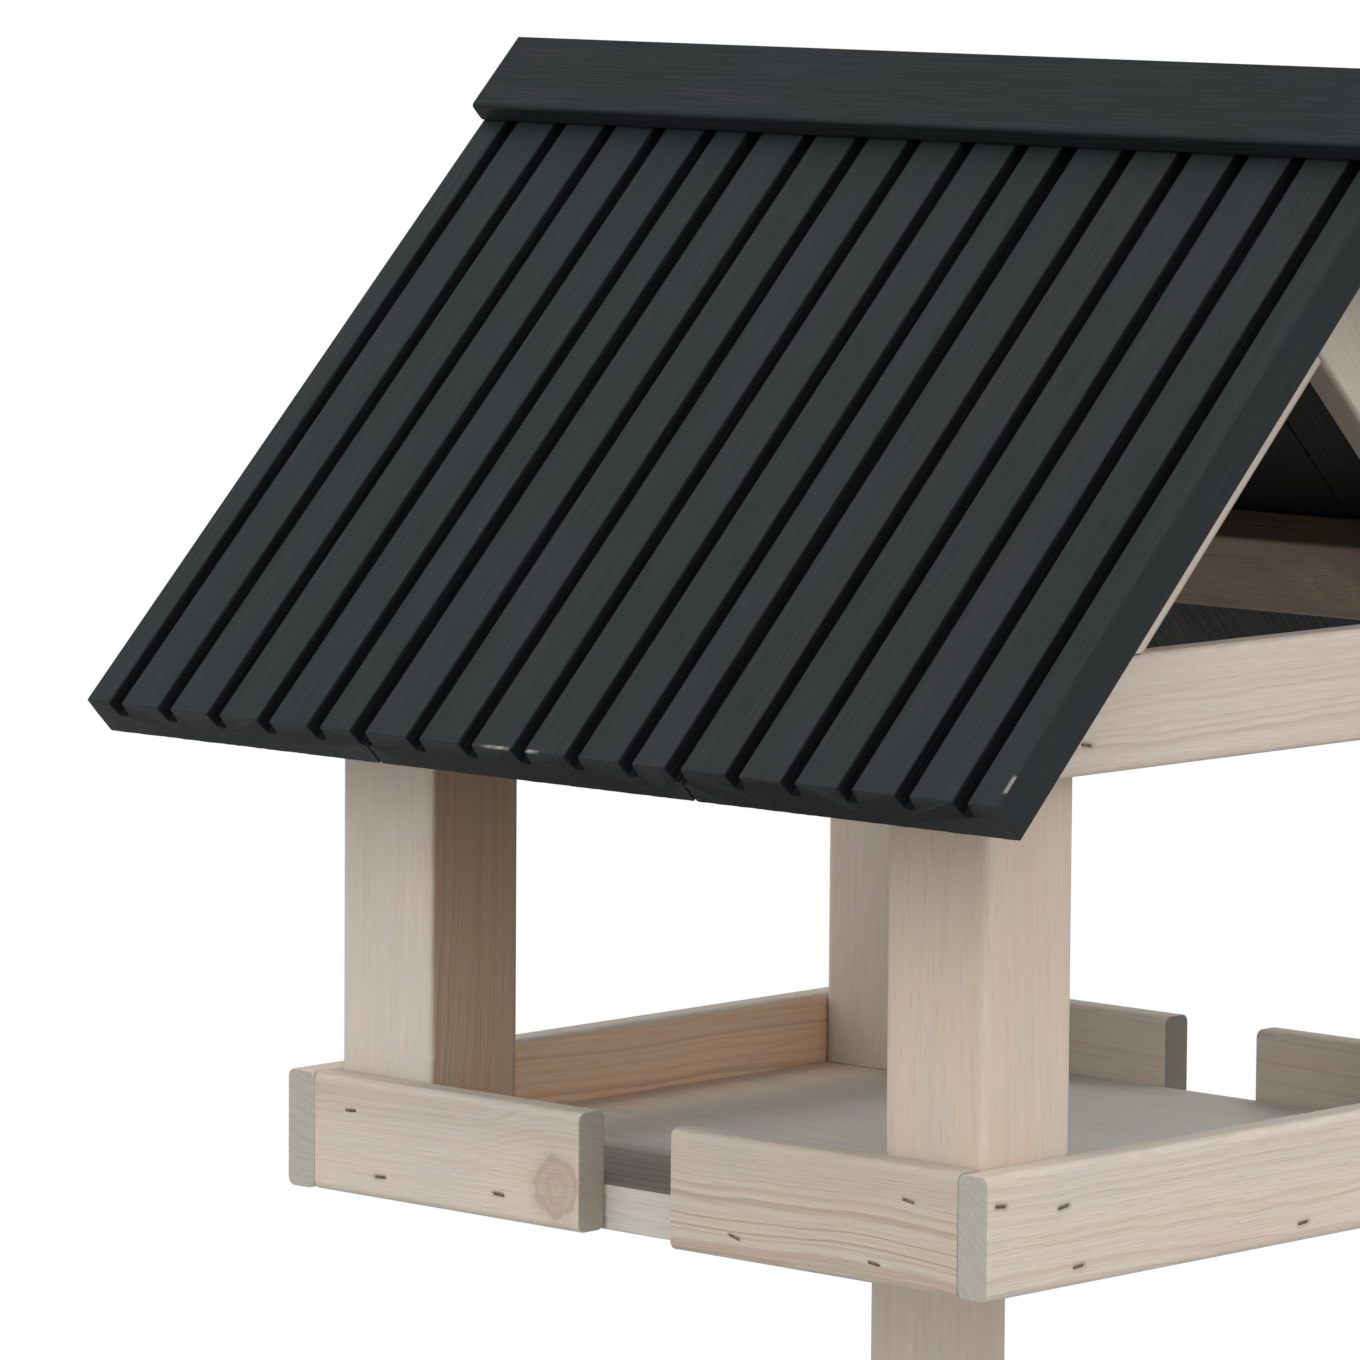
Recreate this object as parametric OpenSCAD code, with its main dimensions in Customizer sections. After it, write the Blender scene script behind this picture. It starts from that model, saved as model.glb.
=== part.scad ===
// Bird feeder: a small open house under a steep dark roof, on a pole with a cross foot.
// X runs along the ridge, the front is the eave side at -Y, and the origin is on the
// ground at the middle of the foot.  Sizes are in millimetres.

/* [Floor and rails] */
// Length of the floor board, along the ridge
floor_len = 302; // [240:1:420]
// Depth of the floor board, from front to back
floor_depth = 302; // [240:1:420]
// Thickness of the floor board
floor_t = 16; // [12:1:24]
// Thickness of the thin planed boards: rails, ties and rafters
thin_t = 13; // [10:0.5:20]
// Width of the rails and purlins
thin_w = 42; // [32:1:60]
// Width of the gap in the front and back rails, where crumbs are swept out
rail_gap = 43; // [20:1:90]
// Rounding of the long edges of the thin boards
edge_r = 3; // [1:0.25:4.5]

/* [Posts] */
// Side of the square corner posts
post_w = 45; // [30:1:70]
// Rounding of the long edges of the posts
post_r = 3.5; // [1:0.25:8]
// Height of the posts above the floor board, at their outer faces
post_h = 179.25; // [140:0.25:260]
// Height from the floor board up to the underside of the ties
tie_clear = 154.5; // [110:0.5:230]
// Width of a tie
tie_w = 39; // [30:1:60]

/* [Roof] */
// Width of a whole roof board; three of them cover a slope
board_w = 146; // [120:1:200]
// Thickness of the roof boards
board_t = 17; // [12:0.5:25]
// Open joint between two roof boards
joint_w = 1; // [0.5:0.25:3]
// Width ripped off the outer edge of the left board
trim_left = 11.5; // [0:0.5:20]
// Width ripped off the outer edge of the right board
trim_right = 5; // [0:0.5:20]
// How far the roof boards run down past the outer face of the posts, level
eave_run = 66; // [30:1:110]
// Depth of a front rafter, across its length
front_rafter_w = 50; // [35:1:60]
// Depth of a back rafter, across its length
back_rafter_w = 42; // [35:1:60]
// Thickness of a purlin
purlin_t = 14.25; // [10:0.25:20]
// Rounding of the long edges of a purlin
purlin_r = 1.5; // [0.5:0.25:4]
// Width of a ridge board
cap_w = 35; // [22:0.5:60]
// Thickness of a ridge board
cap_t = 8.5; // [6:0.5:20]
// Rounding of the lower long edges of a ridge board
cap_r = 1.5; // [0.5:0.25:2.75]
// Distance down the slope from the peak under the boards to the upper purlins
ridge_gap = 36; // [25:1:60]

/* [Grooves] */
// Number of grooves in a whole roof board
groove_n = 5; // [3:1:7]
// Distance from a board's left edge to its first groove
groove_first = 26; // [15:0.5:40]
// Distance from a board's last groove to its right edge
groove_last = 21; // [15:0.5:40]
// Width of a groove at the surface
groove_w = 6.5; // [3:0.25:10]
// Depth of a groove
groove_d = 7; // [3:0.25:10]
// Width of the rebate along both edges of a whole board; two of them and the open joint
// look like one more groove
rebate_w = 3.25; // [1.5:0.25:5]

/* [Stand] */
// Height of the floor board's underside above the ground
stand_h = 740; // [400:10:1200]
// Thickness of the stand boards
stand_t = 20; // [15:1:30]
// Width of the stand boards
stand_w = 50; // [35:1:80]
// Length of each foot board
foot_len = 480; // [360:10:800]
// Depth of the pole, from front to back
pole_w = 52; // [40:1:80]
// Rounding of the long edges of the pole
pole_r = 2; // [1:0.25:4.5]
// Reach of a brace along the foot board, from the pole
brace_reach = 150; // [90:5:220]
// Width of a brace, across its length
brace_w = 30; // [20:1:45]
// Length of the cleats under the floor board
cleat_len = 120; // [80:5:280]
// Width of a cleat
cleat_w = 50; // [30:1:80]
// Thickness of a cleat
cleat_t = 12; // [8:1:25]

/* [Hidden] */
PALE = "#c4b6a6";
DARK = "#33393a";
GREY = "#9a9488";
$fn = 48;
root2 = sqrt(2);

// Plan: the rails wrap the floor board, and the posts stand inside them.
half_x = floor_len / 2;
half_y = floor_depth / 2;
out_x = half_x + thin_t;
out_y = half_y + thin_t;
floor_top = stand_h + floor_t;

// Section across the ridge: both slopes are at 45 degrees and meet at a right angle, so
// every end is cut square.  A slope is the plane z = k - |y|, and k names its height at y = 0.
post_top = floor_top + post_h;
purlin_k = post_top + half_y;
under_k = purlin_k + purlin_t * root2;
top_k = under_k + board_t * root2;
front_rafter_k = under_k - front_rafter_w * root2;
back_rafter_k = under_k - back_rafter_w * root2;
tie_z = floor_top + tie_clear;
tie_top = tie_z + tie_w;
eave_y = half_y + eave_run;

// Lengths measured down the slope from the line where two surfaces would meet
eave_s = eave_y * root2;
purlin_low_s = half_y * root2 + thin_t;
purlin_high_s = ridge_gap + thin_w;

// Roof boards: the roof's length, where the two joints lie, and the grooves' pitch
roof_len = 3 * board_w + 2 * joint_w - trim_left - trim_right;
left_joint = -roof_len / 2 + board_w - trim_left + joint_w / 2;
right_joint = left_joint + board_w + joint_w;
groove_pitch = (board_w - groove_first - groove_last) / (groove_n - 1);

// A rectangle centred on the origin with round corners
module soft_rect(w, t, r) {
    square([w - 2 * r, t], center = true);
    square([w, t - 2 * r], center = true);
    for (sx = [-1, 1], sy = [-1, 1])
        translate([sx * (w / 2 - r), sy * (t / 2 - r)]) circle(r = r);
}

// A planed board along +X from x = 0: w is its height along Z, t its thickness along Y,
// and its lower corner is at the origin
module board_x(len, w, t, r) {
    translate([0, t / 2, w / 2]) rotate([90, 0, 90])
        linear_extrude(height = len) soft_rect(t, w, r);
}

// The same board along +Y, with its thickness along X
module board_y(len, w, t, r) {
    translate([t, 0, 0]) rotate([0, 0, 90]) board_x(len, w, t, r);
}

// ---- Stand ----

// The lap that joins the two foot boards, half of their height deep
module foot_lap(z) {
    translate([-stand_t / 2, -stand_t / 2, z]) cube([stand_t, stand_t, stand_w / 2]);
}

module foot_board_x() {
    color(PALE) difference() {
        translate([-foot_len / 2, -stand_t / 2, 0])
            board_x(foot_len, stand_w, stand_t, edge_r);
        foot_lap(stand_w / 2);
    }
}

module foot_board_y() {
    color(PALE) difference() {
        translate([-stand_t / 2, -foot_len / 2, 0])
            board_y(foot_len, stand_w, stand_t, edge_r);
        foot_lap(0);
    }
}

module pole() {
    color(PALE) translate([0, 0, stand_w])
        linear_extrude(height = stand_h - stand_w) soft_rect(stand_t, pole_w, pole_r);
}

// A brace in the XZ plane that leans on a face at x = 0 and stands on the foot board
module brace(reach) {
    color(PALE) translate([0, stand_t / 2, stand_w]) rotate([90, 0, 0])
        linear_extrude(height = stand_t) polygon([
            [0, reach - brace_w * root2], [0, reach],
            [reach, 0], [reach - brace_w * root2, 0],
        ]);
}

module brace_right() { translate([stand_t / 2, 0, 0]) brace(brace_reach); }
module brace_left() { mirror([1, 0, 0]) brace_right(); }
module brace_back() { rotate([0, 0, 90]) translate([pole_w / 2, 0, 0]) brace(brace_reach); }
module brace_front() { mirror([0, 1, 0]) brace_back(); }

// ---- Floor ----

module cleat_right() {
    color(PALE) translate([stand_t / 2, -cleat_len / 2, stand_h - cleat_t])
        board_y(cleat_len, cleat_t, cleat_w, edge_r);
}
module cleat_left() { mirror([1, 0, 0]) cleat_right(); }

module floor_board() {
    color(GREY) translate([-half_x, -half_y, stand_h]) cube([floor_len, floor_depth, floor_t]);
}

// The side rails run the whole depth, and their ends show beside the front and back rails
module rail_right() {
    color(PALE) translate([half_x, -out_y, stand_h])
        board_y(2 * out_y, thin_w, thin_t, edge_r);
}
module rail_left() { mirror([1, 0, 0]) rail_right(); }

module rail_front_right() {
    color(PALE) translate([rail_gap / 2, -out_y, stand_h])
        board_x(half_x - rail_gap / 2, thin_w, thin_t, edge_r);
}
module rail_front_left() { mirror([1, 0, 0]) rail_front_right(); }
module rail_back_right() { mirror([0, 1, 0]) rail_front_right(); }
module rail_back_left() { mirror([0, 1, 0]) rail_front_left(); }

// ---- Posts and gable frames ----

// The head of a post is cut to the slope, so that the purlin bears on it
module post_front_right() {
    color(PALE) difference() {
        translate([half_x - post_w / 2, -half_y + post_w / 2, floor_top])
            linear_extrude(height = post_h + 2 * post_w) soft_rect(post_w, post_w, post_r);
        on_front(purlin_k) translate([0, -eave_s, 0]) cube([out_x, eave_s, 2 * post_w]);
    }
}
module post_front_left() { mirror([1, 0, 0]) post_front_right(); }
module post_back_right() { mirror([0, 1, 0]) post_front_right(); }
module post_back_left() { mirror([0, 1, 0]) post_front_left(); }

// The tie is laid against the outer faces of the posts
module tie_right() {
    color(PALE) translate([half_x, -half_y, tie_z])
        board_y(floor_depth, tie_w, thin_t, edge_r);
}
module tie_left() { mirror([1, 0, 0]) tie_right(); }

// A rafter's outline in Y and Z, extruded along X against the outside of the posts.
// It stands on the tie, and its foot is cut off plumb above the end of the tie.
module rafter_plate(outline) {
    color(PALE) translate([half_x, 0, 0]) rotate([90, 0, 90])
        linear_extrude(height = thin_t) polygon(outline);
}

// Where the front slope's plane of height kf meets the back slope's plane of height kb
function crossing(kf, kb) = [(kb - kf) / 2, (kb + kf) / 2];

// The back rafter runs up to the ridge, to the underside of the front boards
module rafter_back_right() {
    rafter_plate([
        [half_y, tie_top], [half_y, under_k - half_y],
        crossing(under_k, under_k), crossing(under_k, back_rafter_k),
        [back_rafter_k - tie_top, tie_top],
    ]);
}
module rafter_back_left() { mirror([1, 0, 0]) rafter_back_right(); }

// The front rafter ends square against the lower edge of the back one
module rafter_front_right() {
    rafter_plate([
        [-half_y, tie_top], [-half_y, under_k - half_y],
        crossing(under_k, back_rafter_k), crossing(front_rafter_k, back_rafter_k),
        [tie_top - front_rafter_k, tie_top],
    ]);
}
module rafter_front_left() { mirror([1, 0, 0]) rafter_front_right(); }

// ---- Roof ----

// Puts its children on the front slope whose plane has the height k at y = 0: there +X
// runs along the ridge, -Y down the slope and +Z out of it
module on_front(k) { translate([0, 0, k]) rotate([45, 0, 0]) children(); }
// The back slope is the front one turned about the vertical
module on_back(k) { rotate([0, 0, 180]) on_front(k) children(); }

// A purlin lies flat under the boards between the rafters, its lower edge s down the slope
module purlin(s) {
    color(PALE) translate([-half_x, -s, -purlin_t])
        board_x(floor_len, purlin_t, thin_w, purlin_r);
}
module purlin_front_low() { on_front(under_k) purlin(purlin_low_s); }
module purlin_front_high() { on_front(under_k) purlin(purlin_high_s); }
module purlin_back_low() { on_back(under_k) purlin(purlin_low_s); }
module purlin_back_high() { on_back(under_k) purlin(purlin_high_s); }

// A roof board that is a whole board from x = whole_x0, less what is ripped off its left and
// right edges.  Its upper end is at y = top_y and its lower end at the eave.
module roof_board(whole_x0, rip_left, rip_right, top_y) {
    color(DARK) translate([whole_x0, -eave_s, 0]) difference() {
        translate([rip_left, 0, -board_t])
            cube([board_w - rip_left - rip_right, eave_s + top_y, board_t]);
        for (i = [0:groove_n - 1])
            translate([groove_first + i * groove_pitch, 0, 0]) groove(eave_s + top_y);
        rebate(eave_s + top_y);
        translate([board_w, 0, 0]) mirror([1, 0, 0]) rebate(eave_s + top_y);
    }
}

// A groove with slightly sloping sides, cut down from the surface at z = 0
module groove(len) {
    translate([0, len + 1, 0]) rotate([90, 0, 0]) linear_extrude(height = len + 2)
        polygon([
            [-groove_w / 2, 1], [-groove_w / 2, 0], [-groove_w / 3, -groove_d],
            [groove_w / 3, -groove_d], [groove_w / 2, 0], [groove_w / 2, 1],
        ]);
}

// Half a groove along the left edge of a whole board, where x = 0
module rebate(len) {
    translate([0, len + 1, 0]) rotate([90, 0, 0]) linear_extrude(height = len + 2)
        polygon([
            [-1, 1], [-1, -groove_d], [rebate_w - groove_w / 6, -groove_d],
            [rebate_w, 0], [rebate_w, 1],
        ]);
}

module roof_left(top_y) {
    roof_board(left_joint - joint_w / 2 - board_w, trim_left, 0, top_y);
}
module roof_middle(top_y) { roof_board(left_joint + joint_w / 2, 0, 0, top_y); }
module roof_right(top_y) { roof_board(right_joint + joint_w / 2, 0, trim_right, top_y); }

// The back boards reach the ridge, and the front boards end under them
module roof_front_left() { on_front(top_k) roof_left(-board_t); }
module roof_front_middle() { on_front(top_k) roof_middle(-board_t); }
module roof_front_right() { on_front(top_k) roof_right(-board_t); }
module roof_back_left() { on_back(top_k) roof_right(0); }
module roof_back_middle() { on_back(top_k) roof_middle(0); }
module roof_back_right() { on_back(top_k) roof_left(0); }

// A ridge board lies on a slope.  Its lower edge is rounded, and its upper edge is sawn
// square and stands lap past the ridge.  The front one covers the edge of the back one.
module ridge_board(lap) {
    color(DARK) translate([-roof_len / 2, lap - cap_w, 0]) rotate([90, 0, 90])
        linear_extrude(height = roof_len) {
            translate([cap_r, 0]) square([cap_w - cap_r, cap_t]);
            translate([0, cap_r]) square([cap_w, cap_t - 2 * cap_r]);
            for (h = [cap_r, cap_t - cap_r]) translate([cap_r, h]) circle(r = cap_r);
        }
}
module ridge_board_front() { on_front(top_k) ridge_board(cap_t); }
module ridge_board_back() { on_back(top_k) ridge_board(0); }

foot_board_x();
foot_board_y();
pole();
brace_front();
brace_back();
brace_left();
brace_right();
cleat_left();
cleat_right();
floor_board();
rail_left();
rail_right();
rail_front_left();
rail_front_right();
rail_back_left();
rail_back_right();
post_front_left();
post_front_right();
post_back_left();
post_back_right();
tie_left();
tie_right();
rafter_front_left();
rafter_front_right();
rafter_back_left();
rafter_back_right();
purlin_front_low();
purlin_front_high();
purlin_back_low();
purlin_back_high();
roof_front_left();
roof_front_middle();
roof_front_right();
roof_back_left();
roof_back_middle();
roof_back_right();
ridge_board_front();
ridge_board_back();
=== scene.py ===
# %% [markdown]
# # A bird feeder in pale and dark stained pine
# A small open house stands on a pole with a cross foot.  Its floor, rails, posts and
# gable frames are pine with a thin white wash, and its roof boards are pine under a
# dark stain.  The CAD model already has every board at its real size, with plain
# faces.  Here each board is made again as a surface that has eased arrises, end
# grain, knots, staples and tool marks, and it stands exactly where the CAD board is.

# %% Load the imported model
import math
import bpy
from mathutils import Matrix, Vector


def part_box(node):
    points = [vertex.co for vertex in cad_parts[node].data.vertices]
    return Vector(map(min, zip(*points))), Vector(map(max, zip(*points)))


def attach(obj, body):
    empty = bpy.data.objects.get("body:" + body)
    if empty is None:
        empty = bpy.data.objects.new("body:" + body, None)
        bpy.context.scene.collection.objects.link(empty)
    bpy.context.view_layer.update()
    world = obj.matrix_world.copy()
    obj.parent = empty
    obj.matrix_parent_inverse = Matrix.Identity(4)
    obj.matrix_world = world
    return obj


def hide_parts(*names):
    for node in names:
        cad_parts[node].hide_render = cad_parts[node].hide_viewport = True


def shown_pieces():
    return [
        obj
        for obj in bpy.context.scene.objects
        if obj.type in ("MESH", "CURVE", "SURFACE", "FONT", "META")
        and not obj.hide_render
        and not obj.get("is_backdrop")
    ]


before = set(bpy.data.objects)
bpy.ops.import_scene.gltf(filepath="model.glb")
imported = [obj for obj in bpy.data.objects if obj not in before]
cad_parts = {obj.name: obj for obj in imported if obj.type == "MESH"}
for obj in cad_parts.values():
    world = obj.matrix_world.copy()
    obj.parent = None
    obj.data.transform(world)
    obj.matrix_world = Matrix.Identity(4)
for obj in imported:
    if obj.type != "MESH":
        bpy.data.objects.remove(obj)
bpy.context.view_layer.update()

from types import SimpleNamespace

import bmesh
import bpy
import numpy as np
from mathutils import Matrix

MM = 0.001
print("boards in the frame:", len(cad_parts))


def box(node):
    """The lowest and highest corners of a CAD board, as two arrays in metres."""
    return tuple(np.array(corner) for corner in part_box(node))


# %% [markdown]
# ## The camera
# A long lens far away keeps the boards almost parallel.  The camera looks down a
# little on the front and on the right gable.  It is turned three times: round the
# vertical, up from looking straight down, and by a small roll round its own line of
# sight.

# %% Camera
def placed(name, data):
    """Puts a camera, lamp or mesh into the scene under a name."""
    thing = bpy.data.objects.new(name, data)
    bpy.context.scene.collection.objects.link(thing)
    return thing


YAW, PITCH, ROLL = np.radians([42.943, 6.256, 0.399])
STANDPOINT, LENS, SENSOR = (1.9223, -2.2032, 1.2406), 219.91, 36.0

camera = placed("camera", bpy.data.cameras.new("camera"))
camera.data.lens, camera.data.sensor_width = LENS, SENSOR
camera.data.clip_start, camera.data.clip_end = 0.05, 200.0
pose = Matrix.Translation(STANDPOINT)
for angle, axis in ((YAW, "Z"), (math.pi / 2 - PITCH, "X"), (ROLL, "Z")):
    pose = pose @ Matrix.Rotation(angle, 4, axis)
camera.matrix_world = pose
bpy.context.scene.camera = camera
bpy.context.scene.view_settings.view_transform = "Standard"
print("camera height in metres:", round(camera.location.z, 3))

# %% [markdown]
# ## The light
# The object stands in a white studio.  Most of the light comes from a large bright
# ceiling and from the front, and less comes in low from the sides, so the space
# under the roof is dim.  A world whose brightness depends on direction does this
# without hot spots, and one very soft lamp tells the faces apart.  Only the camera
# sees the world as plain white.

# %% World
def add(tree, kind, inputs=(), **settings):
    """Adds a shader node, sets its properties, and fills inputs with values or sockets."""
    made = tree.nodes.new("ShaderNode" + kind)
    for name, value in settings.items():
        setattr(made, name, value)
    for key, value in dict(inputs).items():
        if isinstance(value, bpy.types.NodeSocket):
            tree.links.new(value, made.inputs[key])
        else:
            made.inputs[key].default_value = value
    return made


def calc(tree, operation, *values):
    """One Math node on numbers or sockets."""
    return add(tree, "Math", enumerate(values), operation=operation).outputs[0]


def spread(tree, value, low, high, to_low=0.0, to_high=1.0):
    """Carries a value from the range low to high over to another range, with soft ends."""
    inputs = enumerate((value, low, high, to_low, to_high))
    return add(tree, "MapRange", inputs, interpolation_type="SMOOTHSTEP").outputs[0]


def emptied(owner):
    """The emptied node tree of a world or a material."""
    owner.use_nodes = True
    owner.node_tree.nodes.clear()
    return owner.node_tree


def times(tree, *values):
    """The product of several numbers or sockets."""
    result = values[0]
    for value in values[1:]:
        result = calc(tree, "MULTIPLY", result, value)
    return result


world = bpy.data.worlds.new("studio")
bpy.context.scene.world = world
tree = emptied(world)
toward = add(tree, "SeparateXYZ", {0: add(tree, "TexCoord").outputs["Generated"]})
ceiling = spread(tree, toward.outputs[2], -0.04, 0.46, 0.68, 1.20)
front = spread(tree, toward.outputs[1], -0.9, 0.5, 1.20, 0.90)
side = spread(tree, toward.outputs[0], -0.2, 0.9, 1.0, 1.20)
light = add(tree, "Background", {"Color": (1.0, 0.99, 0.975, 1),
                                 "Strength": times(tree, ceiling, front, side)})
plain = add(tree, "Background", {"Color": (1, 1, 1, 1), "Strength": 1.0})
mixed = add(tree, "MixShader", {0: add(tree, "LightPath").outputs["Is Camera Ray"],
                                1: light.outputs[0], 2: plain.outputs[0]})
add(tree, "OutputWorld", {0: mixed.outputs[0]})
print("world:", len(tree.nodes), "nodes")

# %% Soft lamp
lamp = placed("soft_lamp", bpy.data.lights.new("soft_lamp", "SUN"))
lamp.data.energy, lamp.data.angle = 0.55, math.radians(50)
lamp.rotation_euler = np.radians([38, 0, 52])
print("lamp's width in the sky, in degrees:", round(math.degrees(lamp.data.angle)))

# %% [markdown]
# The floor is white paper.  It takes the object's soft shadow, and it fades to plain
# white away from the stand, so that no horizon shows.  To light that bounces off it
# the paper is greyer than it looks, which keeps the undersides dim.

# %% White floor
def shown(tree):
    """1 for rays from the camera and for those seen in gloss or through glass."""
    path = add(tree, "LightPath")
    seen = calc(tree, "MAXIMUM", path.outputs["Is Camera Ray"], path.outputs["Is Glossy Ray"])
    return calc(tree, "MAXIMUM", seen, path.outputs["Is Transmission Ray"])


HALF_FLOOR, FADE_FROM, FADE_TO = 6.0, 0.5, 2.0
FLOOR_GIVES, FLOOR_SHOWS = (0.42, 0.41, 0.39, 1), (0.78, 0.78, 0.77, 1)
sheet = bpy.data.meshes.new("studio_floor")
sheet.from_pydata([(x * HALF_FLOOR, y * HALF_FLOOR, 0) for x, y in
                   ((-1, -1), (1, -1), (1, 1), (-1, 1))], [], [(0, 1, 2, 3)])
floor = placed("studio_floor", sheet)
floor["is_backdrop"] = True
paper = bpy.data.materials.new("studio_paper")
tree = emptied(paper)
out = add(tree, "VectorMath", {0: add(tree, "TexCoord").outputs["Object"]}, operation="LENGTH")
seen = shown(tree)
faded = times(tree, spread(tree, out.outputs["Value"], FADE_FROM, FADE_TO), seen)
tone = add(tree, "Mix", {0: seen, 6: FLOOR_GIVES, 7: FLOOR_SHOWS}, data_type="RGBA").outputs[2]
lit = add(tree, "BsdfDiffuse", {"Color": tone})
white = add(tree, "Emission", {"Strength": 1.0})
mixed = add(tree, "MixShader", {0: faded, 1: lit.outputs[0], 2: white.outputs[0]})
add(tree, "OutputMaterial", {0: mixed.outputs[0]})
sheet.materials.append(paper)
print("floor is", 2 * HALF_FLOOR, "metres wide")

# %% [markdown]
# ## How a board's finish knows where the wood is
# A board is cut out of a round stem, so its grain is a solid pattern: rings round the
# pith, and fibres along it.  Every board carries its place in the stem as an
# attribute called "stock", with the first number along the grain and the other two
# measured from the pith.  The same pattern then runs over the faces, round the
# arrises and across the sawn ends without a seam.  The effects below are node
# groups that the wood finishes share.

# %% Growth rings
def socket_group(name, inputs, outputs):
    """A new node group with named sockets: (its tree, its inputs by name, its output node)."""
    tree = bpy.data.node_groups.new(name, "ShaderNodeTree")
    for label, kind, value in inputs:
        tree.interface.new_socket(label, in_out="INPUT", socket_type=kind).default_value = value
    for label in outputs:
        tree.interface.new_socket(label, in_out="OUTPUT", socket_type="NodeSocketFloat")
    return tree, tree.nodes.new("NodeGroupInput").outputs, tree.nodes.new("NodeGroupOutput")


def vector(tree, operation, *values):
    """One Vector Math node that gives a vector."""
    return add(tree, "VectorMath", enumerate(values), operation=operation).outputs[0]


def length_of(tree, value):
    """The length of a vector."""
    return add(tree, "VectorMath", {0: value}, operation="LENGTH").outputs["Value"]


def noise(tree, given, stretch, detail=2.0):
    """Noise on the stretched stock; the lot moves each board to its own part of the noise."""
    lot = given["Lot"]
    shift = add(tree, "CombineXYZ", {0: times(tree, lot, 13.7), 1: times(tree, lot, 5.3), 2: lot})
    moved = vector(tree, "MULTIPLY_ADD", given["Stock"], stretch, shift.outputs[0])
    return add(tree, "TexNoise", {"Vector": moved, "Scale": 1.0, "Detail": detail,
                                  "Roughness": 0.5}).outputs


def scaled(tree, value, factor, more):
    """The value times the factor, plus more."""
    return calc(tree, "MULTIPLY_ADD", value, factor, more)


def give_out(tree, told, **values):
    """Links values to the outputs of a node group by their names."""
    for label, value in values.items():
        tree.links.new(value, told.inputs[label])


VECTOR, FLOAT = "NodeSocketVector", "NodeSocketFloat"
BOARD_INPUTS = [("Stock", VECTOR, (0, 0, 0)), ("Lot", FLOAT, 0.0)]
KNOT_INPUTS = BOARD_INPUTS + [("Knot", VECTOR, (50, 0, 0))]

rings, given, told = socket_group(
    "growth_rings", KNOT_INPUTS + [("Ring Width", FLOAT, 0.003)], ["Late", "Tone"])
bent = given["Stock"]
for stretch, amount in (((5, 16, 16), 0.020), ((30, 70, 70), 0.003)):
    centred = vector(rings, "SUBTRACT", noise(rings, given, stretch, 1.0)["Color"], (0.5,) * 3)
    bent = vector(rings, "ADD", bent,
                  vector(rings, "MULTIPLY", centred, (0, amount, amount)))
radius = length_of(rings, vector(rings, "MULTIPLY", bent, (0, 1, 1)))
count = calc(rings, "DIVIDE", radius, given["Ring Width"])
uneven = add(rings, "TexNoise", {"W": scaled(rings, radius, 110.0, given["Lot"]),
                                 "Scale": 1.0, "Detail": 1.0}, noise_dimensions="1D").outputs[0]
count = scaled(rings, uneven, 2.4, count)
lift = spread(rings, length_of(rings, given["Knot"]), 0.6, 4.0, 3.2, 0.0)
count = calc(rings, "ADD", count, lift)
share = calc(rings, "FRACT", count)
grown = spread(rings, share, 0.30, 0.90)
stopped = spread(rings, share, 0.92, 1.0, 1.0, 0.0)
number = scaled(rings, given["Lot"], 31.0, calc(rings, "FLOOR", count))
tone = add(rings, "TexWhiteNoise", {"W": number}, noise_dimensions="1D").outputs["Value"]
give_out(rings, told, Late=times(rings, grown, stopped), Tone=tone)
print("growth rings:", len(rings.nodes), "nodes")

# %% Fibres, patches and knots
fibres, given, told = socket_group("fibres", BOARD_INPUTS, ["Fine", "Streak", "Fleck", "Patch"])
for label, stretch, detail in (("Fine", (36, 1500, 1500), 2.0), ("Streak", (5, 230, 230), 3.0),
                               ("Fleck", (70, 800, 800), 1.0), ("Patch", (11, 30, 30), 3.0)):
    value = noise(fibres, given, stretch, detail)["Fac"]
    low, high = (0.60, 0.74) if label == "Fleck" else (0.28, 0.72)
    give_out(fibres, told, **{label: spread(fibres, value, low, high)})

knots, given, told = socket_group("knots", KNOT_INPUTS, ["Core", "Rim", "Turn"])
ragged = calc(knots, "SUBTRACT", noise(knots, given, (190, 190, 190))["Fac"], 0.5)
near = scaled(knots, ragged, 0.55, length_of(knots, given["Knot"]))
rim = times(knots, spread(knots, near, 0.72, 0.94), spread(knots, near, 1.0, 1.35, 1.0, 0.0))
turn = calc(knots, "PINGPONG", times(knots, near, 5.0), 1.0)
give_out(knots, told, Core=spread(knots, near, 0.86, 1.02, 1.0, 0.0), Rim=rim, Turn=turn)

wear, given, told = socket_group(
    "arris_wear", BOARD_INPUTS + [("Arris", FLOAT, 0.0), ("Amount", FLOAT, 0.5)], ["Worn"])
rubbed = noise(wear, given, (90, 320, 320), 3.0)["Fac"]
limit = scaled(wear, given["Amount"], -0.5, 0.78)
rubbed = spread(wear, calc(wear, "SUBTRACT", rubbed, limit), 0.0, 0.10)
give_out(wear, told, Worn=times(wear, rubbed, given["Arris"]))
print("groups:", [group.name for group in bpy.data.node_groups])

# %% [markdown]
# ## The finishes
# The pale boards are pine under one thin coat of white wash.  The wash fills the soft
# early wood and leaves the hard late wood showing as thin brown lines, and it is
# pinkish in some places and greenish grey in others.  Some pale boards carry painted
# shade where they lie in shade.  The floor board has weathered to grey.  The roof has a
# dark green-black stain, and painted shade lays it almost black toward the bottom of the
# grooves and on the underside.
# All of them read the same attributes, so one function makes the common part.

# %% Common part of the wood finishes
def paint(red, green, blue):
    """A colour given from 0 to 255 as a screen shows it, as Blender's linear numbers."""
    part = np.array([red, green, blue]) / 255
    return (*np.where(part <= 0.04045, part / 12.92, ((part + 0.055) / 1.055) ** 2.4), 1.0)


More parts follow.
